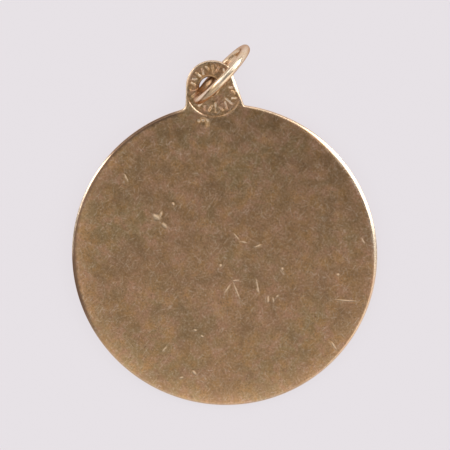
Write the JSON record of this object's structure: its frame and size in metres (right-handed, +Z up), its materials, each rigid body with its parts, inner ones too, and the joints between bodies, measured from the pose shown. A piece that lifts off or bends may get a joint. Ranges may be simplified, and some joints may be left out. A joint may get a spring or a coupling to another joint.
{
  "type": "engraved disc pendant",
  "caption": "Thin round gold disc pendant with a pierced tab at its edge, fine struck marks round the hole and a round-wire jump ring standing through it.",
  "frame": {"origin": "on the surface the pendant lies on, under the middle of its box", "axes": "+Z up out of the back of the disc, +Y from the disc towards the tab and the jump ring, +X to the right as seen from above with the tab at the top"},
  "size_m": [0.025, 0.03, 0.0063],
  "materials": {
    "disc_gold": "satin 18 ct gold, worn and toned brown, with fine hairline scratches and pits",
    "ring_gold": "drawn 18 ct gold wire, rubbed bright where it is handled"
  },
  "bodies": {
    "root": {"disc": "disc_gold", "jump_ring": "ring_gold"}
  },
  "joints": []
}
